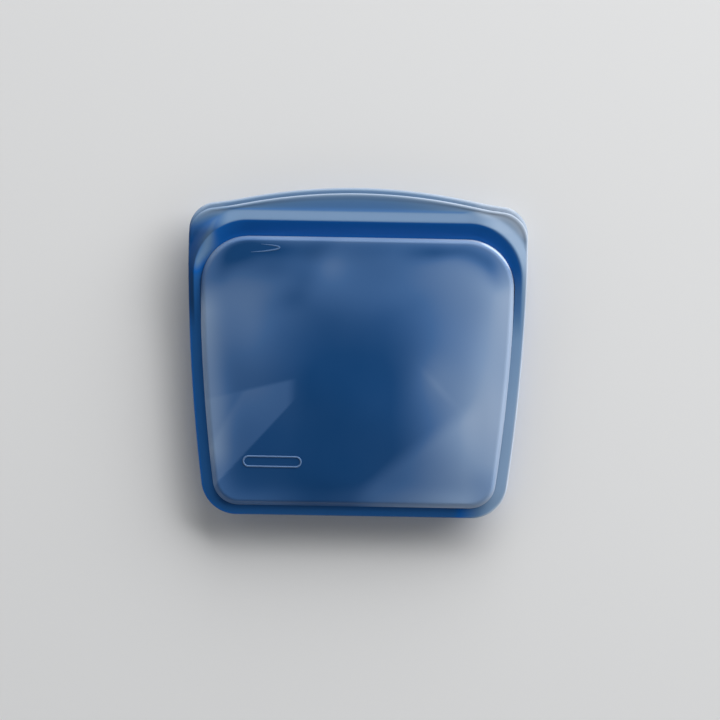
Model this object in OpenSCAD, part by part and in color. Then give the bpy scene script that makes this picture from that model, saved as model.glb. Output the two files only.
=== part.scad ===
// Reusable silicone storage bag with a press-to-close mouth, lying on its back.
// X runs across the mouth, Y from the bottom seam to the pull tabs, Z up from the surface that it lies on.
// The front half lifts away from the back half about the bottom seam, the pull tabs fold at their roots,
// and the front wall can be pressed in to push the air out.

/* [Outline] */
// Width across the mouth
bag_w = 190; // [180:1:200]
// Length from the bottom seam to the top of the back pull tab
bag_l = 184; // [178:1:190]
// Thickness of the pocket
bag_t = 25; // [22:1:30]
// Radius of the gently curved side edges
side_r = 1010; // [900:10:1300]
// Radius of the two bottom corners
corner_r = 20; // [18:0.5:22]
// Radius of the two shoulders at the ends of the mouth
shoulder_r = 15.7; // [14:0.1:17]

/* [Mouth] */
// How far the shoulders stand below the top of the back tab
shoulder_drop = 9.2; // [8:0.1:10]
// Radius of the arched edge of the pull tabs
arch_r = 314; // [290:2:340]
// How far the front tab stops short of the back tab
tab_step = 3.2; // [2:0.1:4]
// Distance from the top of the back tab to the line where the tabs fold
tab_l = 13.1; // [12:0.1:14]
// Distance from the fold line down to the crest of the mouth ridge
crest_gap = 5.5; // [5:0.1:6]
// Height of the mouth ridge above the rim
ridge_h = 3; // [2:0.1:3.5]
// Radius of the bends at the ends of the mouth ridge
ridge_bend_r = 30; // [28:0.5:31]
// Width of the seal rib
rib_w = 1; // [0.8:0.1:1.2]

/* [Walls] */
// Width of the flat rim round the pocket
rim_w = 5.6; // [5.2:0.1:6]
// Thickness of the rim of each half
rim_t = 1.9; // [1.7:0.1:2.2]
// Thickness of the pocket walls
wall_t = 1; // [0.8:0.1:1.4]
// Distance from the fold line of the tabs down to the top edge of the pocket
pocket_gap = 14.5; // [14:0.1:15.5]
// Radius of the two top corners of the pocket
pocket_r = 28; // [24:0.5:30]
// How far the pocket wall leans in at the sides and bottom
side_run = 10; // [8:0.5:11]
// How far the pocket wall leans in at the top
top_run = 6; // [5:0.5:8]
// How much the front panel bulges
crown = 1.9; // [1:0.1:3]

/* [Hidden] */
$fn = 96;

half_gap = 0.15;      // each half stays this far from the parting plane
fold_clear = 0.2;     // gap between a folding piece's round root and the piece that it folds against
seal_clear = 0.2;     // gap on each side of the rib in its channel
rail_w = 1;           // width of each channel rail
rail_h = 2.3;         // height of the rib and of the rails
recess_z = 1.3;       // depth of the recess that holds the seal, from the parting plane
recess_w = 4.8;       // width of that recess
seal_bend = 60;       // how far round its bends the seal runs, in degrees
side_straight = 4.7;  // how far the side edges run straight below the shoulders
crest_inset = 3;      // from the side edge in to the crest of the ridge
ridge_inner_foot = 8; // from the crest down the long slope towards the pocket
crest_flat = 0.8;     // half the width of the flat on the crest
tail_l = 32;          // length over which the ridge fades out down each side
slice = 0.01;         // thickness of the end slices that a tail is stretched between
gusset_t = 0.9;       // thickness of the gusset strips
gusset_clear = 0.2;   // gap round a gusset strip in its rabbet
gusset_end_y = [-60, 38]; // where the gussets start and end
lip_soft = 0.8;       // how softly the arch of a tab runs into the shoulders
bead_w = 1.6;         // width of the bead along a tab's edge
bead_h = 0.4;         // how far that bead stands above its tab
bead_clear = 0.05;    // gap between a bead's ends and its tab's round root
panel_clear = 0.3;    // gap between the front panel and its side wall
mark_size = [33, 6.5]; // size of the raised outline on the front panel
mark_line = 1.1;      // width of its line
mark_h = 0.35;        // how far it stands out
mark_at = [-46, -62]; // its middle

top_y = bag_l / 2;
bottom_y = -bag_l / 2;
mid_z = bag_t / 2;
fold_y = top_y - tab_l;
crest_y = fold_y - crest_gap;
pocket_top_y = fold_y - pocket_gap;
shoulder_y = top_y - shoulder_drop;
side_y = shoulder_y - shoulder_r - side_straight;
bend_c = [bag_w / 2 - crest_inset - ridge_bend_r, crest_y - ridge_bend_r];
split_y = bend_c.y;                // the rim ends and the mouth band starts here
tab_t = rim_t;
root_r = tab_t / 2;
seam_r = rim_t;
seam_y = bottom_y + seam_r;
side_c = [bag_w / 2 - side_r, side_y];
panel_edge_z = bag_t / 2 - crown;  // above the parting plane
pocket_c = [0, (pocket_top_y + bottom_y + rim_w) / 2];
far = 400;                         // beyond the bag on every side

blue = [0.16, 0.33, 0.58];
deep_blue = [0.08, 0.25, 0.5];
pale_blue = [0.4, 0.52, 0.68];

// Points of an arc from angle a0 to a1, in n steps.
function arc(c, r, a0, a1, n) = [for (i = [0:n]) c + r * [cos(a0 + (a1 - a0) * i / n), sin(a0 + (a1 - a0) * i / n)]];
// A right half, from the bottom up, with its mirror image after it.
function both(half) = concat(half, [for (i = [len(half) - 1:-1:0]) [-half[i].x, half[i].y]]);
// Centre of a corner of radius r that is tangent to the curved side, a distance inset in from the edge.
function corner_c(r, inset, y) = [side_c.x + sqrt(pow(side_r - inset - r, 2) - pow(y - side_y, 2)), y];
function side_angle(c) = atan2(c.y - side_c.y, c.x - side_c.x);
// Height of the arched lip at x, with the arch running softly into the shoulders.
function arch_rise(x) = shoulder_drop - x * x / (2 * arch_r);
function lip_y(x) = shoulder_y + lip_soft * ln(1 + exp(arch_rise(x) / lip_soft));

// Outline of the whole bag, inset from its edge, with the mouth end moved down by drop.
function bag_outline(inset = 0, drop = 0) =
    let (
        cb = corner_c(corner_r - inset, inset, bottom_y + corner_r),
        cs = [bag_w / 2 - shoulder_r, shoulder_y - shoulder_r - drop]
    )
    both(concat(
        arc(cb, corner_r - inset, -90, side_angle(cb), 8),
        arc(side_c, side_r - inset, side_angle(cb) * 6 / 7, 0, 6),
        arc(cs, shoulder_r - inset, 0, 90, 8),
        [for (i = [15:-1:0]) let (x = cs.x * i / 16) [x, lip_y(x) - inset - drop]]
    ));

// Outline of the pocket, inset from its foot by side at the sides and bottom, and by top at the top.
function pocket_outline(side = 0, top = 0) =
    let (
        inset = rim_w + side,
        cb = corner_c(corner_r - inset, inset, bottom_y + corner_r),
        ct = corner_c(pocket_r - side, inset, pocket_top_y - top - pocket_r + side),
        a0 = side_angle(cb),
        a1 = side_angle(ct)
    )
    both(concat(
        arc(cb, corner_r - inset, -90, a0, 5),
        arc(side_c, side_r - inset, a0 + (a1 - a0) / 5, a1 - (a1 - a0) / 5, 3),
        arc(ct, pocket_r - side, a1, 90, 7)
    ));

// The pocket wall's section as [share of the run, height]: a quarter ellipse, outer side then inner side.
wall_steps = 4;
function wall_point(i, thick) =
    let (a = 90 * i / wall_steps)
    [side_run * (1 - cos(a)) + thick * cos(a), rim_t + (panel_edge_z - rim_t) * sin(a) - thick * sin(a)];
wall_section = concat(
    [[0, half_gap]],
    [for (i = [0:wall_steps]) wall_point(i, 0)],
    [for (i = [wall_steps:-1:0]) wall_point(i, wall_t)],
    [[wall_t, half_gap]]
);

// A closed section carried round the pocket's outline.
module ring_loft(section) {
    rings = [for (s = section) [for (p = pocket_outline(s[0], s[0] * top_run / side_run)) [p.x, p.y, s[1]]]];
    n = len(rings[0]);
    m = len(rings);
    polyhedron(
        points = [for (r = rings) each r],
        faces = [
            for (j = [0:m - 1], i = [0:n - 1])
                let (k = (i + 1) % n, q = (j + 1) % m)
                each [[j * n + i, q * n + i, q * n + k], [j * n + i, q * n + k, j * n + k]]
        ]
    );
}

// A shell over a flat outline: rings of [scale about the pocket's middle, height], from the top middle round
// the edge to the bottom middle.
module dome(base, rings) {
    n = len(base);
    m = len(rings);
    points = concat(
        [for (r = rings) each [for (p = base) let (q = pocket_c + r[0] * (p - pocket_c)) [q.x, q.y, r[1]]]],
        [[pocket_c.x, pocket_c.y, rings[0][2]], [pocket_c.x, pocket_c.y, rings[m - 1][2]]]
    );
    polyhedron(
        points = points,
        faces = concat(
            [for (i = [0:n - 1]) [m * n, (i + 1) % n, i]],
            [for (j = [0:m - 2], i = [0:n - 1]) let (k = (i + 1) % n)
                each [[j * n + i, j * n + k, (j + 1) * n + k], [j * n + i, (j + 1) * n + k, (j + 1) * n + i]]],
            [for (i = [0:n - 1]) [m * n + 1, (m - 1) * n + i, (m - 1) * n + (i + 1) % n]]
        )
    );
}

// The strip of the plane between two heights.
module band_of_y(y0, y1) {
    translate([-far / 2, y0]) square([far, y1 - y0]);
}

// Carries a section, drawn as [outwards, up], along the crest of the mouth ridge and round its bends.
module along_crest() {
    translate([-bend_c.x, crest_y, 0]) rotate([90, 0, 90]) linear_extrude(2 * bend_c.x) children();
    for (side = [0, 1]) mirror([side, 0, 0]) translate(bend_c)
        rotate_extrude(angle = 90) translate([ridge_bend_r, 0]) children();
}

// The strip of width w that runs beside the crest, a distance out from it, as far as the seal runs.
module seal_plan(out, w) {
    edge = [for (side = [-1, 1]) both(arc(bend_c, ridge_bend_r + out + side * w / 2, 90 - seal_bend, 90, 12))];
    last = len(edge[0]) - 1;
    polygon(concat(edge[1], [for (i = [last:-1:0]) edge[0][i]]));
}

// Section of the mouth ridge: a short slope outwards to the tab, and a long one inwards to the pocket.
module ridge_section() {
    polygon([
        [crest_gap, 0], [crest_gap, rim_t], [crest_flat, rim_t + ridge_h], [-crest_flat, rim_t + ridge_h],
        [-ridge_inner_foot, rim_t], [-ridge_inner_foot, 0]
    ]);
}

// The parts of one half are drawn with Z up from the parting plane. The back half is turned over.
module as_front() {
    translate([0, 0, mid_z]) children();
}
module as_back() {
    translate([0, 0, mid_z]) mirror([0, 0, 1]) children();
}

module rim_plan(y0) {
    intersection() {
        difference() {
            polygon(bag_outline());
            polygon(pocket_outline());
        }
        band_of_y(y0, split_y);
    }
}

// The end of the mouth ridge, which runs down one side of the rim and fades into it.
module ridge_tail(side) {
    mirror([side, 0, 0]) hull() {
        translate([bend_c.x + ridge_bend_r, split_y, 0]) rotate([90, 0, 0]) linear_extrude(slice) ridge_section();
        translate([bend_c.x + ridge_bend_r - crest_gap / 2, split_y - tail_l, 0]) cube([crest_gap, slice, rim_t]);
    }
}

module rim(y0) {
    linear_extrude(rim_t) rim_plan(y0);
    intersection() {
        union() {
            for (side = [0, 1]) ridge_tail(side);
        }
        linear_extrude(rim_t + ridge_h) rim_plan(y0);
    }
}

// Clears the parting gap and the rabbet that a side gusset lies in.
module rim_cuts() {
    translate([-far / 2, -far / 2, -1]) cube([far, far, 1 + half_gap]);
    linear_extrude(recess_z) intersection() {
        polygon(bag_outline(rim_w - gusset_t - 2 * gusset_clear));
        band_of_y(gusset_end_y[0] - gusset_clear, gusset_end_y[1] + gusset_clear);
    }
}

module half_rim(y0) {
    difference() {
        rim(y0);
        rim_cuts();
    }
}

module mouth_band(drop) {
    difference() {
        intersection() {
            union() {
                linear_extrude(rim_t) square(far, center = true);
                along_crest() ridge_section();
            }
            linear_extrude(rim_t + ridge_h) difference() {
                intersection() {
                    polygon(bag_outline(0, drop));
                    band_of_y(split_y, fold_y - root_r - fold_clear);
                }
                polygon(pocket_outline());
            }
        }
        translate([-far / 2, -far / 2, -1]) cube([far, far, 1 + half_gap]);
        linear_extrude(recess_z) seal_plan(0, recess_w);
    }
}

// A rib or rail that hangs from the roof of the seal's recess across the parting plane.
module seal_strip(out, w) {
    translate([0, 0, recess_z - rail_h]) linear_extrude(rail_h) seal_plan(out, w);
}

module tab(drop) {
    translate([0, 0, half_gap]) {
        linear_extrude(tab_t) intersection() {
            polygon(bag_outline(bead_w, drop));
            band_of_y(fold_y, top_y + 1);
        }
        translate([0, fold_y, root_r]) rotate([0, 90, 0])
            cylinder(r = root_r, h = 2 * (bag_w / 2 - shoulder_r), center = true);
    }
}

module tab_bead(drop) {
    translate([0, 0, half_gap]) linear_extrude(tab_t + bead_h) intersection() {
        difference() {
            polygon(bag_outline(0, drop));
            polygon(bag_outline(bead_w, drop));
        }
        band_of_y(fold_y + root_r + bead_clear, top_y + 1);
    }
}

module gusset(side) {
    color(blue) as_front() translate([0, 0, -recess_z + gusset_clear])
        linear_extrude(2 * (recess_z - gusset_clear)) intersection() {
            difference() {
                polygon(bag_outline(rim_w - gusset_t - gusset_clear));
                polygon(bag_outline(rim_w - gusset_clear));
            }
            band_of_y(gusset_end_y[0], gusset_end_y[1]);
            translate([side * far / 4, 0]) square(far / 2, center = true);
        }
}

// Back half: the wall that the bag lies on, its rim, the mouth band with the seal's channel, and the seam.
module back_panel() {
    color(blue) linear_extrude(wall_t) polygon(pocket_outline(side_run, top_run));
}
module back_sidewall() {
    // The section is stretched so that its lower edge reaches the surface that the bag lies on.
    stretch = (mid_z - rim_t) / (panel_edge_z - rim_t);
    color(blue) as_back() ring_loft(
        [for (s = wall_section) [s[0], s[1] > rim_t ? rim_t + (s[1] - rim_t) * stretch : s[1]]]
    );
}
module back_rim() {
    color(deep_blue) difference() {
        as_back() half_rim(bottom_y);
        seam_rod(seam_r);
    }
}
module back_mouth_band() {
    color(deep_blue) as_back() mouth_band(0);
}
module channel_outer_rail() {
    color(deep_blue) as_back() seal_strip(rib_w / 2 + seal_clear + rail_w / 2, rail_w);
}
module channel_inner_rail() {
    color(deep_blue) as_back() seal_strip(-rib_w / 2 - seal_clear - rail_w / 2, rail_w);
}
module side_gusset_left() {
    gusset(-1);
}
module side_gusset_right() {
    gusset(1);
}
module seam_rod(r) {
    translate([0, seam_y, mid_z]) rotate([0, 90, 0])
        cylinder(r = r, h = 2 * corner_c(corner_r, 0, bottom_y + corner_r).x, center = true);
}
module bottom_seam() {
    color(deep_blue) seam_rod(seam_r);
}
module back_tab() {
    color(pale_blue) as_back() tab(0);
}
module back_tab_bead() {
    color(pale_blue) as_back() tab_bead(0);
}

// Front half.
module front_rim() {
    color(deep_blue) as_front() half_rim(seam_y + seam_r + fold_clear);
}
module front_mouth_band() {
    color(deep_blue) as_front() mouth_band(tab_step);
}
module seal_rib() {
    color(deep_blue) as_front() seal_strip(0, rib_w);
}
module front_sidewall() {
    color(blue) as_front() ring_loft(wall_section);
}
module panel_dome() {
    base = pocket_outline(side_run + panel_clear, top_run + panel_clear);
    rings = [[0.5, 0.8], [0.8, 0.4], [1, 0]];   // scale about the middle, share of the crown
    top = [for (r = rings) [r[0], panel_edge_z + crown * r[1], panel_edge_z + crown]];
    under = [for (i = [2:-1:0]) top[i] - [0, wall_t, wall_t]];
    dome(base, concat(top, under));
}
module front_panel() {
    color(pale_blue) as_front() panel_dome();
}
// A plain raised outline on the panel, which follows the panel's bulge.
module embossed_mark() {
    module pill(size) {
        for (side = [-1, 1]) translate([side * (size.x - size.y) / 2, 0]) circle(d = size.y);
        square([size.x - size.y, size.y], center = true);
    }
    color(pale_blue) as_front() difference() {
        intersection() {
            translate([mark_at.x, mark_at.y, panel_edge_z]) linear_extrude(crown + mark_h) difference() {
                pill(mark_size);
                pill(mark_size - 2 * mark_line * [1, 1]);
            }
            translate([0, 0, mark_h]) panel_dome();
        }
        panel_dome();
    }
}
module front_tab() {
    color(pale_blue) as_front() tab(tab_step);
}
module front_tab_bead() {
    color(pale_blue) as_front() tab_bead(tab_step);
}

back_panel();
back_sidewall();
back_rim();
back_mouth_band();
channel_outer_rail();
channel_inner_rail();
side_gusset_left();
side_gusset_right();
bottom_seam();
back_tab();
back_tab_bead();
front_rim();
front_mouth_band();
seal_rib();
front_sidewall();
front_panel();
embossed_mark();
front_tab();
front_tab_bead();
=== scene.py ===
import math

import bpy
import numpy as np
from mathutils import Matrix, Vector


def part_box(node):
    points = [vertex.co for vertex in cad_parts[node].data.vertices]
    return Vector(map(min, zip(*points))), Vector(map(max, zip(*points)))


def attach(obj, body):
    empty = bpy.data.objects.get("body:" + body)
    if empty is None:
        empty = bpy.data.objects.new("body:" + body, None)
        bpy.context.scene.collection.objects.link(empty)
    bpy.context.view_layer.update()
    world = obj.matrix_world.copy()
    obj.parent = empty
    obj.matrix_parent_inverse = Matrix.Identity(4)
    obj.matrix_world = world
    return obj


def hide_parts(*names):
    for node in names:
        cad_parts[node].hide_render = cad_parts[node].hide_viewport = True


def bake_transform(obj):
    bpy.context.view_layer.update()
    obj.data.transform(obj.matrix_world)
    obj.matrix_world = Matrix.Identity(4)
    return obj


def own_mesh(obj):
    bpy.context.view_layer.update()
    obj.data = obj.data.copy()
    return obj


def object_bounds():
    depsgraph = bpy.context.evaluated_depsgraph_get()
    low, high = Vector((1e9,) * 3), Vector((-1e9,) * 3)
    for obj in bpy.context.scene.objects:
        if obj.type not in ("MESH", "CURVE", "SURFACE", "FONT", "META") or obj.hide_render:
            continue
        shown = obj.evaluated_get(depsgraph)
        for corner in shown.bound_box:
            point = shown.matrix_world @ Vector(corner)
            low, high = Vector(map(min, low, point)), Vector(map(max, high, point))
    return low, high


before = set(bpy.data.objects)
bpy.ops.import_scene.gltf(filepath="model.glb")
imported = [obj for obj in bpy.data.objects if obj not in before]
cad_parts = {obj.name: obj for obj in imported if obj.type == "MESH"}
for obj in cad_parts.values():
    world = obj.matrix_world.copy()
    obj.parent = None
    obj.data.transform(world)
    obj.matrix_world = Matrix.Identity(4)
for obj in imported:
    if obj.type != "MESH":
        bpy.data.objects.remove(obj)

MM = 0.001
CAD_BOX = [list(corner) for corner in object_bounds()]


def span(node):
    """(lowest corner, highest corner) of a CAD node in millimetres."""
    return [np.array(corner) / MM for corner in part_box(node)]


# ---------------------------------------------------------------- sizes, from the CAD nodes
LOW, HIGH = (np.array(corner) / MM for corner in CAD_BOX)
TOP_Y, BOTTOM_Y, HALF_W = HIGH[1], LOW[1], HIGH[0]
MID_Z = (span("bottom_seam")[0][2] + span("bottom_seam")[1][2]) / 2
SEAM_Y = (span("bottom_seam")[0][1] + span("bottom_seam")[1][1]) / 2
RIM_T = span("bottom_seam")[1][2] - MID_Z
GAP = span("front_sidewall")[0][2] - MID_Z
LIP_T = span("front_tab")[1][2] - span("front_tab")[0][2]
FOLD_Y = span("front_tab")[0][1] + LIP_T / 2
RIDGE_H = span("front_mouth_band")[1][2] - MID_Z - RIM_T
SPLIT_Y = span("front_mouth_band")[0][1]
FOOT_TOP_Y = span("front_sidewall")[1][1]
RIM_W = span("front_sidewall")[0][1] - BOTTOM_Y
WALL_T = span("back_panel")[1][2] - span("back_panel")[0][2]
DROP = TOP_Y - span("front_tab_bead")[1][1]
TOP_Z = HIGH[2] - MID_Z
MARK_LOW, MARK_HIGH = span("embossed_mark")

# The outline of the bag: curved sides, round corners at the bottom, and shoulders below an arched lip.
SIDE_R, SIDE_Y = 1010.0, 62.4
SIDE_X = HALF_W - SIDE_R
CORNER_R = 20.0
SHOULDER_R, SHOULDER_DROP = 15.7, 9.2
SHOULDER_Y = TOP_Y - SHOULDER_DROP
ARCH_R = 314.0
LIP_SOFT = 0.8

# The pocket. A wall leans in by its RUN over its height, and TOP_RUN_SHARE of that at the mouth end. The front wall
# is FRONT_EDGE high at the sides, and the panel starts to fall to the bottom at VAULT_Y.
POCKET_R, FOOT_BOTTOM = 28.0, 4.5
TOP_RUN_SHARE = 0.75
FRONT_RUN, FRONT_EDGE, FRONT_BOW = 3.2, 4.5, 0.35
BACK_RUN = 5.5
VAULT_Y = 20.0
SLACK, HOLLOW = 0.22, 0.35

# The ridge round the mouth, whose tails fade out down the sides. Its crest is CREST_GAP below the tab's fold and
# CREST_INSET from the bag's sides, and its inner slope is INNER_FOOT wide.
CREST_GAP, CREST_INSET, CREST_R, CREST_ROUND = 6.0, 3.0, 30.0, 0.45
CREST_Y = FOLD_Y - CREST_GAP
INNER_FOOT = 8.0
TAIL_TOP, TAIL_END = 52.0, 8.0

# The rim and the lips. Each half's rim reaches a little into the foot of its wall. Its underside slopes away
# from the other half beyond the bottom seam, so that the two can hinge there.
EDGE_R = 0.8
RIM_SAG = 0.9
BEAD_W, BEAD_H = 1.7, 0.35
FRONT_REACH, BACK_REACH = 1.2, 0.6
SAG_END_Y, SAG_END_SHARE = -84.0, 0.45
HINGE_SLOPE = math.tan(math.radians(12))

# The seal: a rib on the front half between two rails on the back half, each RIB_W wide and SEAL_STEP from the rib.
SEAL_GAP, SEAL_HALF_W, SEAL_DEPTH, SEAL_BEND = 5.5, 2.4, 1.3, 60.0
SEAL_Y = FOLD_Y - SEAL_GAP
RIB_W, SEAL_STEP, SEAL_ROOT, SEAL_TIP = 1.0, 1.2, SEAL_DEPTH + 0.05, SEAL_DEPTH - 2.3

# The web between the two halves, and the raised lines on the front wall: a pill-shaped mark and a hooked crease.
WEB_INSET, WEB_T, WEB_HALF, WEB_PLEAT, WEB_TOP = 1.9, 0.7, 0.2, 0.6, 56.0
MARK_LINE, MARK_H = 0.9, 0.3
CREASE_W, CREASE_H = 0.9, 0.16
CREASE = [(-59.6, 54.7), (-52, 55.3), (-45.5, 56.4), (-43.9, 57.5), (-46.5, 58.4), (-54, 59.2)]

# Every outline is sampled along rays from CENTRE.
CENTRE = np.array([0.0, -11.0])
AROUND = 600
ANGLES = np.linspace(-math.pi, math.pi, AROUND, endpoint=False)
RAYS = np.column_stack([np.cos(ANGLES), np.sin(ANGLES)])


# ---------------------------------------------------------------- outlines
def smooth(t):
    t = np.clip(t, 0, 1)
    return t * t * (3 - 2 * t)


def bump(t, centre, width):
    return np.exp(-((t - centre) / width) ** 2)


def arc(centre, radius, start, end, steps=24):
    a = np.radians(np.linspace(start, end, steps + 1))
    return np.array(centre) + radius * np.column_stack([np.cos(a), np.sin(a)])


def whole(half):
    """A closed outline from its right half, which runs from the bottom up."""
    return np.vstack([half, half[::-1] * [-1, 1]])


def corner_centre(radius, inset, y):
    """Centre of a corner that is tangent to the curved side, inset from the edge."""
    return np.array([SIDE_X + math.sqrt((SIDE_R - inset - radius) ** 2 - (y - SIDE_Y) ** 2), y])


def side_angle(centre):
    return math.degrees(math.atan2(centre[1] - SIDE_Y, centre[0] - SIDE_X))


def rounded(inset, top_y, top_r, bottom=None):
    """Outline with curved sides and round corners, inset from the bag's edge, up to top_y."""
    bottom = inset if bottom is None else bottom
    low = corner_centre(CORNER_R - bottom, inset, BOTTOM_Y + CORNER_R)
    high = corner_centre(top_r, inset, top_y - top_r)
    return whole(np.vstack([
        arc(low, CORNER_R - bottom, -90, side_angle(low)),
        arc([SIDE_X, SIDE_Y], SIDE_R - inset, side_angle(low), side_angle(high))[1:-1],
        arc(high, top_r, side_angle(high), 90),
    ]))


def lip_y(x):
    """Height of the arched edge of a pull tab, which runs softly into the shoulders."""
    rise = SHOULDER_DROP - x * x / (2 * ARCH_R)
    return SHOULDER_Y + LIP_SOFT * np.log1p(np.exp(rise / LIP_SOFT))


def bag_edge(drop):
    """Outline of the whole bag, with the mouth end moved down by drop."""
    low = corner_centre(CORNER_R, 0, BOTTOM_Y + CORNER_R)
    shoulder = [HALF_W - SHOULDER_R, SHOULDER_Y - SHOULDER_R - drop]
    x = np.linspace(shoulder[0], 0, 80)[1:]
    return whole(np.vstack([
        arc(low, CORNER_R, -90, side_angle(low)),
        arc([SIDE_X, SIDE_Y], SIDE_R, side_angle(low), 0)[1:],
        arc(shoulder, SHOULDER_R, 0, 90),
        np.column_stack([x, lip_y(x) - drop]),
    ]))


def dense(outline, step=0.4):
    """The closed outline with its long runs divided."""
    out = []
    for a, b in zip(outline, np.roll(outline, -1, axis=0)):
        n = max(1, int(np.linalg.norm(b - a) / step))
        out.append(a + (b - a) * np.arange(n)[:, None] / n)
    return np.vstack(out)


def radii(outline):
    """Distance from the centre to the outline along each ray."""
    d = dense(outline) - CENTRE
    return np.interp(ANGLES, np.arctan2(d[:, 1], d[:, 0]), np.hypot(d[:, 0], d[:, 1]), period=2 * math.pi)


def at(radius):
    return CENTRE + RAYS * np.asarray(radius)[:, None]


def inside(xy, radius):
    """Distance from an outline, given by its radii, towards the centre."""
    d = xy - CENTRE
    edge = np.interp(np.arctan2(d[:, 1], d[:, 0]), ANGLES, radius, period=2 * math.pi)
    return edge - np.hypot(d[:, 0], d[:, 1])


# ---------------------------------------------------------------- meshes
def piece(name, vertices, faces):
    """A mesh object from vertices in millimetres above the parting plane."""
    points = (np.asarray(vertices) + [0, 0, MID_Z]) * MM
    mesh = bpy.data.meshes.new(name)
    mesh.from_pydata(points.tolist(), [], [list(map(int, f)) for f in faces])
    mesh.validate()
    mesh.shade_smooth()
    ob = bpy.data.objects.new(name, mesh)
    bpy.context.scene.collection.objects.link(ob)
    return ob


def torus_faces(rings):
    """Quads of a closed section carried right round. Vertex j * AROUND + i is point i of ring j."""
    faces = []
    for j in range(rings):
        q = (j + 1) % rings
        for i in range(AROUND):
            k = (i + 1) % AROUND
            faces.append((q * AROUND + i, q * AROUND + k, j * AROUND + k, j * AROUND + i))
    return faces


# ---------------------------------------------------------------- the two skins of the pocket
FOOT_R = radii(rounded(RIM_W, FOOT_TOP_Y, POCKET_R, FOOT_BOTTOM))


def vault(x, y):
    """Height of the front panel above the parting gap: an arch from side to side, which falls towards the bottom."""
    half = SIDE_X + np.sqrt((SIDE_R - RIM_W) ** 2 - (y - SIDE_Y) ** 2)
    u = np.clip(np.abs(x) / half, 0, 1)
    w = np.clip((VAULT_Y - y) / (VAULT_Y - BOTTOM_Y - RIM_W), 0, 1)
    return FRONT_EDGE + (TOP_Z - GAP - FRONT_EDGE) * (1 - u ** 2) * (1 - w ** 2.5)


def foot_distance(xy):
    """Distance from the pocket's foot towards its middle."""
    return inside(xy, FOOT_R)


def panel_height(xy):
    """The vault with the slack of a soft wall: shallow waves, and a hollow that runs down from the mouth at -X."""
    x, y = xy[:, 0], xy[:, 1]
    waves = SLACK * np.sin(x / 11 + y / 23) * np.sin(y / 13 - x / 31 + 0.6)
    hollow = HOLLOW * np.exp(-((x - 0.5 * y + 52) / 7) ** 2) * smooth((y - 5) / 25)
    return vault(x, y) + (waves - hollow) * smooth((foot_distance(xy) - 4) / 14)


def on_wall(xy):
    """Height of the front panel's surface."""
    return GAP + panel_height(xy)


def wall_ring(inset):
    """The pocket's outline, inset from its foot."""
    top = FOOT_TOP_Y - inset * TOP_RUN_SHARE
    return radii(rounded(RIM_W + inset, top, POCKET_R - inset, FOOT_BOTTOM + inset))


def skin(name, front, wall_steps=16, panel_steps=64):
    """A shell with an outer and an inner surface, from the foot of the pocket's wall over its panel."""
    layers = []
    for thick in (0.0, WALL_T):
        rings = []
        for t in np.linspace(0, 1, wall_steps + 1):
            if front:
                run, share = FRONT_RUN * t, t * (1 + FRONT_BOW * (1 - t))
            else:
                run, share = BACK_RUN * (1 - math.cos(t * math.pi / 2)), math.sin(t * math.pi / 2)
            rings.append((wall_ring(run + thick * (1 - share)), share))
        edge_r = rings[-1][0]
        for t in np.linspace(1, 0, panel_steps + 1)[1:-1]:
            rings.append((edge_r * t, 1.0))
        points = []
        for r, share in rings:
            xy = at(r)
            height = panel_height(xy) if front else np.full(AROUND, TOP_Z - GAP)
            points.append(np.column_stack([xy, GAP + (height - thick) * share]))
        middle = np.array([[*CENTRE, points[-1][:, 2].mean()]])
        layers.append((np.vstack(points), middle, len(rings)))
    outer, inner = layers
    count = outer[2]
    vertices = np.vstack([outer[0], inner[0], outer[1], inner[1]])
    faces = []
    base = count * AROUND
    for i in range(AROUND):
        k = (i + 1) % AROUND
        for j in range(count - 1):
            a, b = j * AROUND, (j + 1) * AROUND
            faces.append((a + i, a + k, b + k, b + i))
            faces.append((base + a + i, base + b + i, base + b + k, base + a + k))
        last = (count - 1) * AROUND
        faces.append((last + i, last + k, 2 * base))
        faces.append((base + last + k, base + last + i, 2 * base + 1))
        faces.append((base + i, base + k, k, i))
    if not front:
        vertices[:, 2] *= -1
        faces = [f[::-1] for f in faces]
    return piece(name, vertices, faces)


# ---------------------------------------------------------------- rim, mouth ridge and pull tab of each half
CREST = rounded(CREST_INSET, CREST_Y, CREST_R)
CREST_DENSE = dense(CREST, 0.5)
CREST_RADIUS = radii(CREST)


def crest_distance(xy):
    """Distance from the crest of the ridge, to either side."""
    d2 = ((xy[:, None, :] - CREST_DENSE[None, :, :]) ** 2).sum(axis=2)
    return np.sqrt(d2.min(axis=1))


def slope_share(d, reach):
    """Share of the ridge's height at a distance d from its crest, which is rounded. Its foot is soft, at reach."""
    line = 1 - np.sqrt(d * d + CREST_ROUND ** 2) / reach + CREST_ROUND / reach
    soft = 0.08
    return soft * np.log1p(np.exp(np.clip(line / soft, -40, 40)))


def tail_fade(y):
    """1 beside the mouth, and 0 below the ends of the ridge."""
    return smooth((y - TAIL_END) / (TAIL_TOP - TAIL_END))


def ridge(xy, reach):
    return RIDGE_H * tail_fade(xy[:, 1]) * slope_share(crest_distance(xy), reach)


def seal_share():
    """1 along the seal's line, and 0 beyond its ends."""
    line = at(radii(rounded(CREST_INSET, SEAL_Y, CREST_R)))
    corner = corner_centre(CREST_R, CREST_INSET, SEAL_Y - CREST_R)
    turn = np.degrees(np.arctan2(line[:, 1] - corner[1], np.abs(line[:, 0]) - corner[0]))
    share = np.where(np.abs(line[:, 0]) < corner[0], 1.0, smooth((turn - (90 - SEAL_BEND)) / 6))
    return np.where(line[:, 1] < SPLIT_Y, 0.0, share)


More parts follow.
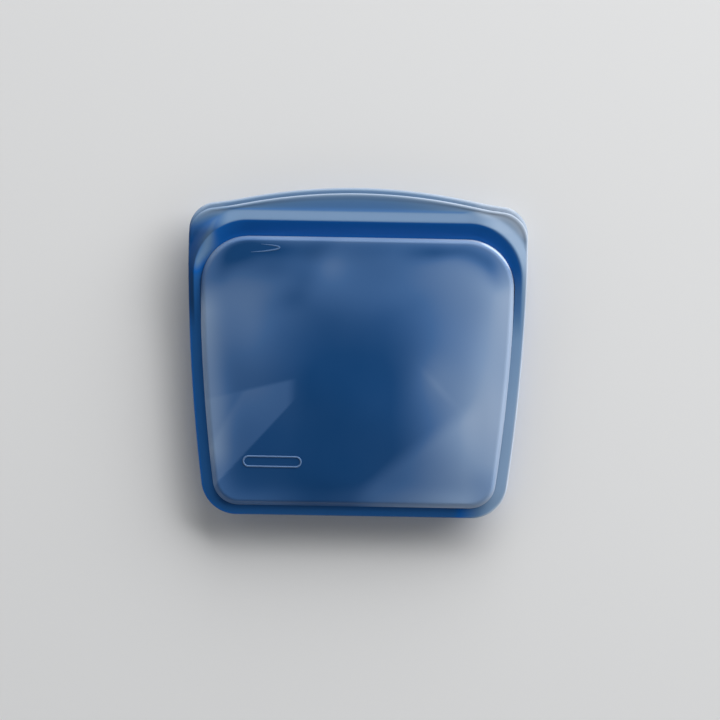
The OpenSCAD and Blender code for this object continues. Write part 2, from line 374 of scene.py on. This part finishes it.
def border(name, front):
    """Rim, mouth ridge and pull tab of one half: a closed section carried right round the bag."""
    edge = radii(bag_edge(DROP if front else 0.0))
    lip = edge - EDGE_R
    inner = FOOT_R - (FRONT_REACH if front else BACK_REACH)
    fold = radii(rounded(CREST_INSET - CREST_GAP, FOLD_Y, CREST_R + CREST_GAP, 0))
    fold = np.minimum(fold, lip - 0.2)
    crest = np.minimum(CREST_RADIUS, fold - 0.3)
    rings = []

    def add(r, z):
        rings.append(np.column_stack([at(r), np.broadcast_to(z, AROUND)]))

    def top(r, reach):
        """Height of the upper surface. The rim sags towards its edge where there is no ridge, and less at the
        bottom seam."""
        xy = at(r)
        out = np.clip((r - inner) / (lip - inner), 0, 1)
        sag = RIM_SAG * out ** 1.5 * (1 - tail_fade(xy[:, 1]))
        return RIM_T + ridge(xy, reach) - sag * (1 - SAG_END_SHARE * smooth((SAG_END_Y - xy[:, 1]) / 6))

    # over the top, from the pocket's wall to the crest, the fold and the lip
    for t in 1 - np.linspace(1, 0, 14) ** 1.6:
        r = inner + (crest - inner) * t
        add(r, top(r, INNER_FOOT))
    for t in np.linspace(0, 1, 11)[1:] ** 1.3:
        r = crest + (fold - crest) * t
        add(r, top(r, CREST_GAP))
    room = np.clip((lip - fold) / (2 * BEAD_W), 0, 1)
    for t in np.linspace(0, 1, 9)[1:]:
        r = fold + (lip - fold) * t
        add(r, top(r, CREST_GAP) + BEAD_H * room * bump(lip - r, BEAD_W / 3, BEAD_W / 2))
    # round the edge
    shoulder = rings[-1][:, 2]
    for a in np.radians([22.5, 45, 67.5, 90]):
        add(lip + EDGE_R * math.sin(a), shoulder - EDGE_R * (1 - math.cos(a)))

    def under(r):
        """Height of the lower surface, which slopes away from the other half outside the bottom seam."""
        return GAP + np.clip(SEAM_Y - at(r)[:, 1], 0, None) * HINGE_SLOPE

    # back along the underside, with a groove for the seal
    add(edge - 0.1, np.minimum(under(edge), shoulder - EDGE_R - 0.1))
    add(edge - 1.9, under(edge - 1.9))
    deep = GAP + (SEAL_DEPTH - GAP) * seal_share()
    half_w = SEAL_HALF_W
    seal_out = radii(rounded(CREST_INSET - half_w, SEAL_Y + half_w, CREST_R + half_w, 0))
    seal_out = np.minimum(seal_out, edge - 2.0)
    seal_in = radii(rounded(CREST_INSET + half_w, SEAL_Y - half_w, CREST_R - half_w))
    seal_in = np.maximum(np.minimum(seal_in, fold), inner + 0.4)
    add(seal_out, GAP)
    add(seal_out - 0.02, deep)
    add(seal_in, deep)
    add(seal_in - 0.02, GAP)
    add(inner, GAP)
    vertices = np.vstack(rings)
    faces = torus_faces(len(rings))
    if not front:
        vertices[:, 2] *= -1
        faces = [f[::-1] for f in faces]
    return piece(name, vertices, faces)


# ---------------------------------------------------------------- pieces swept along a path
def sweep(name, path, section, base=None, closed=False, size=None):
    """A closed section, as (offset to the left, height) pairs, carried along a path in plan. base gives the
    height under each point, and size scales the section along the path."""
    path, section = np.asarray(path), np.asarray(section)
    ahead = np.roll(path, -1, axis=0) - np.roll(path, 1, axis=0)
    if not closed:
        ahead[0], ahead[-1] = path[1] - path[0], path[-1] - path[-2]
    ahead = ahead / np.linalg.norm(ahead, axis=1)[:, None]
    left = np.column_stack([-ahead[:, 1], ahead[:, 0]])
    scale = np.ones(len(path)) if size is None else size
    n = len(section)
    xy = path[:, None, :] + left[:, None, :] * (section[None, :, :1] * scale[:, None, None])
    z = np.broadcast_to(section[None, :, 1] * scale[:, None], xy.shape[:2]).copy()
    if base is not None:
        z += base(xy.reshape(-1, 2)).reshape(z.shape)
    vertices = np.column_stack([xy.reshape(-1, 2), z.reshape(-1)])
    faces = []
    for i in range(len(path) if closed else len(path) - 1):
        k = (i + 1) % len(path)
        for j in range(n):
            q = (j + 1) % n
            faces.append((i * n + j, k * n + j, k * n + q, i * n + q))
    if not closed:
        faces.append(tuple(range(n)))
        faces.append(tuple((len(path) - 1) * n + j for j in range(n))[::-1])
    return piece(name, vertices, faces)


def seal_path(out):
    """The seal's line beside the crest, out from it, round the bend at each end."""
    bend = corner_centre(CREST_R, CREST_INSET, SEAL_Y - CREST_R)
    right = arc(bend, CREST_R + out, 90 - SEAL_BEND, 90, 30)
    return np.vstack([right, dense_line(right[-1], right[-1] * [-1, 1]), right[::-1] * [-1, 1]])


def dense_line(a, b, step=2.0):
    """Points between a and b, without either."""
    n = max(2, int(np.linalg.norm(np.subtract(b, a)) / step))
    return np.array([np.add(a, np.subtract(b, a) * t) for t in np.linspace(0, 1, n + 1)[1:-1]])


def strip_section(upright):
    """A bar of the seal with a round end, which hangs from its root or stands on it."""
    r = RIB_W / 2
    a = np.radians(np.linspace(0, 180, 13))
    round_end = np.column_stack([r * np.cos(a), SEAL_TIP + r - r * np.sin(a)])
    bar = np.vstack([[[r, SEAL_ROOT]], round_end, [[-r, SEAL_ROOT]]])
    return (bar * [1, -1])[::-1] if upright else bar


def web_path():
    """The line of the seam web, from one side round the bottom to the other. The outline's own top is cut off."""
    line = dense(rounded(WEB_INSET, top_y=80, top_r=12), 1.0)
    line = line[line[:, 1] < WEB_TOP]
    return line[np.argsort(np.arctan2(line[:, 0], -line[:, 1]))]


def web_section(layers=8):
    """A thin strip across the gap, which bows out in one pleat."""
    z = np.linspace(-WEB_HALF, WEB_HALF, layers + 1)
    bow = WEB_PLEAT * (1 - (z / WEB_HALF) ** 2)
    one_side, other_side = np.column_stack([WEB_T / 2 + bow, z]), np.column_stack([-WEB_T / 2 + bow, z])
    return np.vstack([one_side, other_side[::-1]])


def stadium(centre, length, height):
    """A pill outline."""
    r = height / 2
    x = length / 2 - r
    right = arc([centre[0] + x, centre[1]], r, -90, 90, 16)
    left = arc([centre[0] - x, centre[1]], r, 90, 270, 16)
    return np.vstack([right, dense_line(right[-1], left[0], 0.8), left, dense_line(left[-1], right[0], 0.8)])


def bead_section(width, height, sunk=0.25):
    """A low dome, sunk into what it lies on."""
    a = np.radians(np.linspace(0, 180, 9))
    dome = np.column_stack([width / 2 * np.cos(a), height * np.sin(a)])
    return np.vstack([[[width / 2, -sunk]], dome, [[-width / 2, -sunk]]])


def spline(points, steps=12):
    """Catmull-Rom curve through points."""
    p = np.asarray(points, float)
    p = np.vstack([2 * p[0] - p[1], p, 2 * p[-1] - p[-2]])
    out = []
    for a, b, c, d in zip(p, p[1:], p[2:], p[3:]):
        square, cube = 2 * a - 5 * b + 4 * c - d, 3 * b - a - 3 * c + d
        for t in np.linspace(0, 1, steps, endpoint=False):
            out.append(0.5 * (2 * b + (c - a) * t + square * t * t + cube * t ** 3))
    return np.vstack([out, p[-2]])


# ---------------------------------------------------------------- how milky each part of the silicone is, with painted light
# 0 is clear and deep, 1 is milky. The terms below are shares of that, at places in millimetres. Many of them are
# painted
# light and shade: paler sheen and highlights where faces turn to the light, and darker bands where shade falls. x
# and y are in the record's frame, d is the distance from the foot of the pocket's wall towards its middle, and edge
# is the distance from the bag's edge.
DEEP = 0.05
# The crease's share is a painted highlight along its line.
MARK_MILK, CREASE_PAINTED_HIGHLIGHT = 0.38, 0.3
# The back half's share of the rim's painted light towards +X.
BACK_RIM_SHARE = 0.35
# where the painted streak of light at the corner runs, where the ridge's slope turns to the light
PAINTED_STREAK = [
    (-62, 75), (-73, 75.5), (-79.2, 73.4), (-82.2, 68.3), (-83.8, 62.1), (-85.5, 55.9), (-89.3, 49.4), (-91.4, 42)]


def evenly(value):
    return lambda points: np.full(len(points), value)


def spot(x, y, centre, width):
    """An oval spot with soft edges."""
    return bump(x, centre[0], width[0]) * bump(y, centre[1], width[1])


def panel_milk_and_painted_light(x, y, d):
    """The open middle of the wall is deep, and milkier towards the mouth and +X, where painted sheen pales it. Spots
    of painted light and shade lie on it.
    """
    right, left = smooth((x - 10) / 60), smooth((-x - 20) / 40)
    mouth_end = smooth((y + 20) / 60)
    milk_and_painted_light = -0.03 + 0.22 * right + 0.04 * smooth((-x - 10) / 30)
    milk_and_painted_light += 0.2 * mouth_end * (1 - 0.35 * smooth((d - 30) / 25) * (1 - right))
    milk_and_painted_light += 0.1 * left * (1 - smooth((-y - 20) / 30))
    milk_and_painted_light += 0.26 * spot(x, y, (64, -30), (26, 36)) + 0.13 * spot(x, y, (43, -14), (12, 14))
    milk_and_painted_light += 0.08 * spot(x, y, (-62, 8), (16, 28)) + 0.1 * spot(x, y, (-75, -50), (8, 24))
    milk_and_painted_light += 0.14 * spot(x, y, (-17, 50), (13, 12))
    return milk_and_painted_light - 0.15 * spot(x, y, (-47, 47), (14, 9)) - 0.16 * spot(x, y, (-66, 54), (14, 14))


def foot_painted_light(x, y, d):
    """Painted light on the foot of the wall, pale all round and most on the sides: reflections where it turns to the
    light, light through the wall, and the corner's painted highlight.
    """
    right, left = smooth((x - 10) / 60), smooth((-x - 20) / 40)
    side = (0.33 * bump(d, 5, 16) + 0.25 * bump(d, 0, 3)) * right
    milk_and_painted_light = side * smooth((FOOT_TOP_Y - 12 - y) / 20) * (1 - 0.6 * smooth((-y - 60) / 15))
    side = (0.36 * bump(d, 2, 10) + 0.35 * bump(d, -0.5, 2.2)) * left
    milk_and_painted_light += side * smooth((40 - y) / 20) * (1 - 0.6 * smooth((-y - 55) / 15))
    milk_and_painted_light += 0.42 * bump(d, 0.5, 2.6) * smooth((y - 40) / 15) * (1 - 0.7 * smooth((x - 60) / 15))
    milk_and_painted_light += 0.6 * bump(d, 0.9, 0.7) * smooth((x - 60) / 8) * smooth((y - 34) / 8) + 0.5 * painted_corner_highlight(x, y, d)
    bottom = 0.1 * bump(d, 5, 8) * smooth((x + 60) / 80) + (0.12 + 0.25 * smooth(x / 30)) * bump(d, 0.5, 2)
    return milk_and_painted_light + bottom * smooth((-y - 60) / 15)


def painted_corner_highlight(x, y, d):
    """A painted highlight on the thin edge of the pocket's corner towards the light."""
    return bump(d, 1.5, 0.7) * smooth((x - 67) / 5) * smooth((y - 46) / 6)


def fold_painted_shading(x, y, d):
    """Painted shade and light of folds in the wall: dark bands under the mouth, and straight-edged pale patches
    lower down.
    """
    under_mouth = 0.22 * bump(x, -58, 30) * bump(d, 9.5, 7) + 0.22 * smooth((x - 18) / 28) * bump(d, 10, 5.5)
    under_mouth += 0.04 * bump(d, 8, 5)
    milk_and_painted_light = -under_mouth * smooth((y - 30) / 12) * (1 - 0.5 * smooth((np.abs(x) - 72) / 10))
    milk_and_painted_light -= 0.09 * bump(x - 0.5 * y, -50, 9) * smooth((y - 18) / 14)
    milk_and_painted_light += 0.06 * bump(x + y, 27, 3) * bump(x, 46, 9)
    lower_right = smooth((0.733 * (x + 7) - 83.3 - y) / 14 + 0.5)
    milk_and_painted_light += 0.16 * lower_right * smooth((x + 5) / 20) * (1 - smooth((x - 60) / 14))
    above = smooth((y + 27.7 - (x + 33.7) * 1.11) / 1.6) * smooth((-x - 32) / 7)
    below = smooth((-7.3 + 0.246 * x - y) / 2.5 + 0.5)
    beside = smooth((x + 50.1 - 0.565 * y) / 4 + 0.5)
    return milk_and_painted_light + 0.14 * above * below * (0.45 + 0.55 * beside)


# The front wall's milky tone, with its painted light and shade.
def skin_milk_and_painted_light(points):
    x, y, d = points[:, 0], points[:, 1], foot_distance(points[:, :2])
    return np.clip(panel_milk_and_painted_light(x, y, d) + foot_painted_light(x, y, d) + fold_painted_shading(x, y, d), 0, 1)


def skin_depth(points):
    """Painted shade: the steep foot of the wall faces the light at the mouth end and on the +X side, and is dimmed
    there. The corner's painted highlight brightens it.
    """
    x, y, d = points[:, 0], points[:, 1], foot_distance(points[:, :2])
    lit = np.maximum(smooth((y - 40) / 15), 0.7 * smooth((x - 60) / 15))
    return 1 - 0.3 * bump(d, 0.5, 2.6) * lit + 0.5 * painted_corner_highlight(x, y, d)


def back_milk_and_painted_light(points):
    """The back half is deeper, as little light reaches it, and takes about a third of the front's painted light and
    shade.
    """
    return 0.1 + 0.35 * skin_milk_and_painted_light(points)


def web_milk(points):
    return 0.1 + 0.12 * smooth((points[:, 1] + 95) / 60)


def mouth_drop(points):
    """How much lower the mouth end of the points' half is."""
    return DROP if points[:, 2].max() > GAP else 0.0


def outside_crest(xy):
    """1 outside the crest, 0 inside it. The change is softer at +X."""
    blur = 1 + 2 * smooth((xy[:, 0] - 70) / 12)
    return smooth(0.5 - inside(xy, CREST_RADIUS) / blur)


def painted_streak_light(xy):
    """A painted streak of light that turns the corner at -X and runs out down the side, where the ridge's slope
    turns to the light.
    """
    line = spline(PAINTED_STREAK)
    gap = np.sqrt(((xy[:, None, :] - line[None, :, :]) ** 2).sum(axis=2))
    along = gap.argmin(axis=1) / (len(line) - 1)
    width = 1.9 + 2.2 * bump(along, 0.66, 0.16)
    ends = smooth(along / 0.35) * smooth((1 - along) / 0.15)
    return (0.24 + 0.12 * smooth((along - 0.42) / 0.15)) * bump(gap.min(axis=1), 0, width) * ends


def border_milk_and_painted_light(points):
    """The lips are thin and pale, with painted highlights along their edges. Painted light makes the side and
    shoulder towards +X milkier, and pales the ridge's outer slope, the -X shoulder and a streak at the -X corner.
    """
    xy = points[:, :2]
    x, y = xy[:, 0], xy[:, 1]
    drop = mouth_drop(points)
    edge = np.clip(inside(xy, radii(bag_edge(drop))), 0, None)
    outer = outside_crest(xy)
    taper = 0.55 * smooth((52 - y) / 22) + 0.45 * smooth((30 - y) / 24)
    rim = smooth((x - 55) / 25) * (0.46 + 0.1 * smooth((20 - y) / 60)) * np.maximum(taper, outer)
    rim += 0.45 * smooth((x - 55) / 20) * bump(edge, 0, 0.9) + 0.12 * smooth((-x - 55) / 20) * bump(edge, 0, 0.8)
    if drop == 0:
        rim *= BACK_RIM_SHARE
    lip = smooth((y - FOLD_Y + 1.5) / 3) * (0.21 + 0.18 * smooth((x - 10) / 75) + 0.38 * np.exp(-edge / 2.8))
    lip += 0.2 * smooth((y - FOLD_Y) / 2) * bump(edge, 0, 1.2)
    shoulder = (0.48 + 0.24 * smooth((7 - edge) / 6)) * smooth((x - 50) / 20) * smooth((y - 55) / 14)
    shoulder += 0.58 * smooth((-x - 60) / 20) * smooth((y - 64) / 14) * bump(edge, 0, 7)
    slope = 0.42 * outer * smooth((y - 60) / 8) * smooth((FOLD_Y - y + 1) / 2) * (1 - 0.75 * smooth((-x - 72) / 10))
    ridge_side = 0.12 * outer * smooth((x - 66) / 14) * smooth((y - 20) / 30)
    palest = np.maximum.reduce([rim, lip, shoulder * outer, painted_streak_light(xy), slope])
    return np.clip(DEEP * smooth((y - 38) / 16) + palest + ridge_side, 0, 1)


def border_depth(points):
    """Painted shade: the outer slope of the mouth ridge faces the edge and is dimmed, and so are the ridge's -X
    side, its +X corner and the lips' edges.
    """
    x, y = points[:, 0], points[:, 1]
    below = smooth((FOLD_Y - y + 0.6) / 1.2)
    straight = below * smooth((y - 62) / 8) * (1 - 0.8 * smooth((np.abs(x) - 62) / 14))
    side = smooth((-x - 74) / 7) * smooth((73 - y) / 9) * smooth((y - TAIL_END) / 20)
    corner = 0.1 * smooth((x - 58) / 12) * smooth((y - 20) / 25) * below
    lip_edge = smooth((y - FOLD_Y + 1) / 2) * (0.08 + 0.06 * smooth((x - 50) / 20))
    return 1 - (0.2 * straight + 0.5 * side + corner) * outside_crest(points[:, :2]) - lip_edge


def paint(ob, milk_and_painted_light, depth):
    """Keeps how milky each vertex is, with its painted light and shade, for the material's colour ramp, and a factor
    of painted shade and highlight that scales the colour.
    """
    points = np.empty(len(ob.data.vertices) * 3)
    ob.data.vertices.foreach_get("co", points)
    points = points.reshape(-1, 3) / MM - [0, 0, MID_Z]
    for name, values in (("milk_and_painted_light", milk_and_painted_light(points)), ("depth", depth(points))):
        layer = ob.data.attributes.new(name, "FLOAT", "POINT")
        layer.data.foreach_set("value", values)


# ---------------------------------------------------------------- materials
def nodes_of(material):
    material.use_nodes = True
    return material.node_tree.nodes, material.node_tree.links


def silicone(name, tints, mottle):
    """Milky silicone. tints is how its colour runs from clear and deep to milky, as (share, colour) pairs. The milky
    end also gives painted sheen and highlights, and a second attribute scales the colour with painted shade and
    highlights.
    """
    m = bpy.data.materials.new(name)
    nodes, links = nodes_of(m)
    p = nodes["Principled BSDF"]
    where = nodes.new("ShaderNodeTexCoord")
    milk_and_painted_light = nodes.new("ShaderNodeAttribute")
    milk_and_painted_light.attribute_name = "milk_and_painted_light"
    cloud = nodes.new("ShaderNodeTexNoise")
    cloud.inputs["Scale"].default_value = 22
    cloud.inputs["Detail"].default_value = 2
    links.new(where.outputs["Object"], cloud.inputs["Vector"])
    mottled = nodes.new("ShaderNodeMath")
    mottled.operation = "MULTIPLY_ADD"
    mottled.inputs[1].default_value = mottle
    links.new(cloud.outputs["Fac"], mottled.inputs[0])
    links.new(milk_and_painted_light.outputs["Fac"], mottled.inputs[2])
    ramp = nodes.new("ShaderNodeValToRGB")
    stops = ramp.color_ramp.elements
    for share, colour in tints[1:-1]:
        stops.new(share)
    for stop, (share, colour) in zip(stops, tints):
        stop.color = (*colour, 1)
    links.new(mottled.outputs[0], ramp.inputs["Fac"])
    depth = nodes.new("ShaderNodeAttribute")
    depth.attribute_name = "depth"
    tinted = nodes.new("ShaderNodeVectorMath")
    tinted.operation = "SCALE"
    links.new(ramp.outputs["Color"], tinted.inputs[0])
    links.new(depth.outputs["Fac"], tinted.inputs["Scale"])
    links.new(tinted.outputs[0], p.inputs["Base Color"])
    grain = nodes.new("ShaderNodeTexNoise")
    grain.inputs["Scale"].default_value = 2500
    links.new(where.outputs["Object"], grain.inputs["Vector"])
    rough = nodes.new("ShaderNodeBump")
    rough.inputs["Strength"].default_value = 0.08
    rough.inputs["Distance"].default_value = 0.0001
    links.new(grain.outputs["Fac"], rough.inputs["Height"])
    links.new(rough.outputs["Normal"], p.inputs["Normal"])
    p.inputs["Roughness"].default_value = 0.34
    p.inputs["IOR"].default_value = 1.41
    return m


WALL = silicone("silicone_wall", mottle=0.06, tints=[
    (0, (0.0035, 0.055, 0.185)), (0.25, (0.06, 0.147, 0.335)), (0.6, (0.212, 0.317, 0.5)), (1, (0.46, 0.55, 0.69))])
RIM = silicone("silicone_rim", mottle=0.02, tints=[
    (0, (0.02, 0.1, 0.28)), (DEEP, (0.002, 0.105, 0.41)), (0.36, (0.095, 0.2, 0.375)), (0.55, (0.18, 0.285, 0.44)),
    (1, (0.5, 0.58, 0.69))])


# ---------------------------------------------------------------- the pieces
def finish_piece(ob, material, milk_and_painted_light, depth=evenly(1.0), replaced=()):
    ob.data.materials.append(material)
    paint(ob, milk_and_painted_light, depth)
    if replaced:
        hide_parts(*replaced)
    return ob


def press_with_wall(ob):
    """Puts ob on the front half's body, with a mesh of its own."""
    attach(ob, "front_half")
    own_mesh(ob)


front_skin = finish_piece(
    skin("front_skin", True), WALL, skin_milk_and_painted_light, skin_depth,
    replaced=("front_sidewall", "front_panel"))
press_with_wall(front_skin)
back_skin = finish_piece(
    skin("back_skin", False), WALL, back_milk_and_painted_light, replaced=("back_sidewall", "back_panel"))
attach(back_skin, "back_half")

for half in ("front", "back"):
    half_border = finish_piece(
        border(half + "_border", half == "front"), RIM, border_milk_and_painted_light, border_depth,
        replaced=(half + "_rim", half + "_mouth_band", half + "_tab", half + "_tab_bead"))
    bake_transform(half_border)

seam_web = finish_piece(
    sweep("seam_web", web_path(), web_section()), WALL, web_milk,
    replaced=("bottom_seam", "side_gusset_left", "side_gusset_right"))
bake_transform(seam_web)

rib = finish_piece(
    sweep("seal_rib_detail", seal_path(0), strip_section(False)), RIM, evenly(DEEP),
    replaced=("seal_rib",))
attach(rib, "front_half")
for where, out in (("outer", SEAL_STEP), ("inner", -SEAL_STEP)):
    rail = finish_piece(
        sweep("channel_" + where + "_detail", seal_path(out), strip_section(True)), RIM,
        evenly(DEEP), replaced=("channel_" + where + "_rail",))
    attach(rail, "back_half")

mark_line = stadium((MARK_LOW + MARK_HIGH)[:2] / 2, *((MARK_HIGH - MARK_LOW)[:2] - MARK_LINE))
mark = finish_piece(
    sweep("raised_mark", mark_line, bead_section(MARK_LINE, MARK_H), on_wall, closed=True), WALL,
    evenly(MARK_MILK), replaced=("embossed_mark",))
press_with_wall(mark)

crease_line = spline(CREASE)
crease_size = np.sin(np.linspace(0.12, math.pi - 0.12, len(crease_line))) ** 0.7
# The crease is painted pale along its line, as a highlight.
crease = finish_piece(
    sweep("wall_crease", crease_line, bead_section(CREASE_W, CREASE_H), on_wall, size=crease_size), WALL,
    evenly(CREASE_PAINTED_HIGHLIGHT))
press_with_wall(crease)


# ---------------------------------------------------------------- floor, light and camera
FLOOR_SIZE, FLOOR_GREY = 8, 0.815
KEY_AZIMUTH, KEY_ELEVATION, KEY_DISTANCE = 56, 22, 3.0
KEY_SIZE = (5.25, 2.0)
KEY_POWER, GLOSS_POWER = 148, 50
SKY_COLOUR, SKY_STRENGTH, SKY_LEAST = (0.96, 0.98, 1.0, 1), 1.4, 0.03
CAMERA_AT, CAMERA_TURN = (0.00208, -0.00447, 1.6), 1.0
SUBJECT_HEIGHT, FRAME_W, SENSOR_W = 0.0125, 0.4036, 36


def floor():
    bpy.ops.mesh.primitive_plane_add(size=FLOOR_SIZE)
    ob = bpy.context.object
    ob.name = "floor"
    m = bpy.data.materials.new("floor")
    nodes, links = nodes_of(m)
    p = nodes["Principled BSDF"]
    p.inputs["Base Color"].default_value = (FLOOR_GREY, FLOOR_GREY, FLOOR_GREY, 1)
    p.inputs["Roughness"].default_value = 1
    p.inputs["Specular IOR Level"].default_value = 0.1
    ob.data.materials.append(m)


def softbox(name, power):
    """A wide light low over the mouth end, out of the camera's sight. Azimuth is from +X towards +Y."""
    data = bpy.data.lights.new(name, "AREA")
    data.shape = "RECTANGLE"
    data.size, data.size_y = KEY_SIZE
    data.energy = power
    ob = bpy.data.objects.new(name, data)
    bpy.context.scene.collection.objects.link(ob)
    a, e = math.radians(KEY_AZIMUTH), math.radians(KEY_ELEVATION)
    ob.location = KEY_DISTANCE * Vector((math.cos(a) * math.cos(e), math.sin(a) * math.cos(e), math.sin(e)))
    ob.rotation_euler = (-ob.location).to_track_quat("-Z", "Y").to_euler()
    ob.visible_camera = False
    return ob


# The key lights the surfaces, and the weaker gloss gives the reflections.
floor()
softbox("key", KEY_POWER).visible_glossy = False
softbox("gloss", GLOSS_POWER)
world = bpy.data.worlds.new("world")
bpy.context.scene.world = world
world.use_nodes = True
nodes, links = world.node_tree.nodes, world.node_tree.links


def sky_share(direction, low, high):
    """0 to 1 as the sky's direction turns towards the given one."""
    where = nodes.new("ShaderNodeTexCoord")
    dot = nodes.new("ShaderNodeVectorMath")
    dot.operation = "DOT_PRODUCT"
    dot.inputs[1].default_value = direction
    links.new(where.outputs["Generated"], dot.inputs[0])
    share = nodes.new("ShaderNodeMapRange")
    share.interpolation_type = "SMOOTHSTEP"
    share.inputs["From Min"].default_value, share.inputs["From Max"].default_value = low, high
    links.new(dot.outputs["Value"], share.inputs["Value"])
    return share


# The sky is brighter low down and towards the light.
low_sky = sky_share((0, 0, 1), 0.75, 0.3)
lit_side = sky_share((0.55, 0.83, 0.1), -0.8, 0.9)
lit_side.inputs["To Min"].default_value = 0.45
sky = nodes.new("ShaderNodeMath")
sky.operation = "MULTIPLY"
links.new(low_sky.outputs[0], sky.inputs[0])
links.new(lit_side.outputs[0], sky.inputs[1])
strength = nodes.new("ShaderNodeMath")
strength.operation = "MULTIPLY_ADD"
strength.inputs[1].default_value = SKY_STRENGTH
strength.inputs[2].default_value = SKY_LEAST
links.new(sky.outputs[0], strength.inputs[0])
nodes["Background"].inputs["Color"].default_value = SKY_COLOUR
links.new(strength.outputs[0], nodes["Background"].inputs["Strength"])
bpy.context.scene.view_settings.view_transform = "Standard"

camera_data = bpy.data.cameras.new("camera")
camera_data.sensor_width = SENSOR_W
camera_data.lens = SENSOR_W * (CAMERA_AT[2] - SUBJECT_HEIGHT) / FRAME_W
camera = bpy.data.objects.new("camera", camera_data)
camera.location = CAMERA_AT
camera.rotation_euler = (0, 0, math.radians(CAMERA_TURN))
bpy.context.scene.collection.objects.link(camera)
bpy.context.scene.camera = camera
